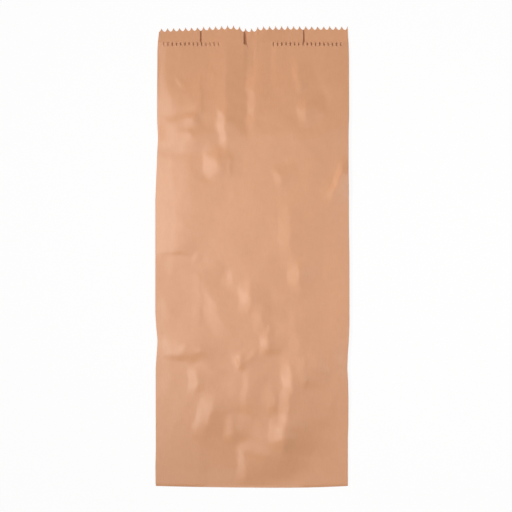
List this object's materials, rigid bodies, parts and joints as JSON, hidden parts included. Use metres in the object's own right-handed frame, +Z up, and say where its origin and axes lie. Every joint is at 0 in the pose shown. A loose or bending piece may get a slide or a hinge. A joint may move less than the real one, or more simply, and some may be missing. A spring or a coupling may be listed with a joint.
{
  "type": "paper bottle bag",
  "caption": "Flat brown kraft paper bag for a bottle, with side gussets, a glued back seam, a folded bottom and a stepped, saw-toothed mouth.",
  "frame": {"origin": "middle of the underside, on the surface that the bag lies on", "axes": "+Y from the bottom fold to the mouth, +X across the bag, +Z up out of the front panel"},
  "size_m": [0.1552, 0.37, 0.0076],
  "materials": {
    "kraft_paper": "satin"
  },
  "bodies": {
    "root": {"bag": "kraft_paper"}
  },
  "joints": []
}
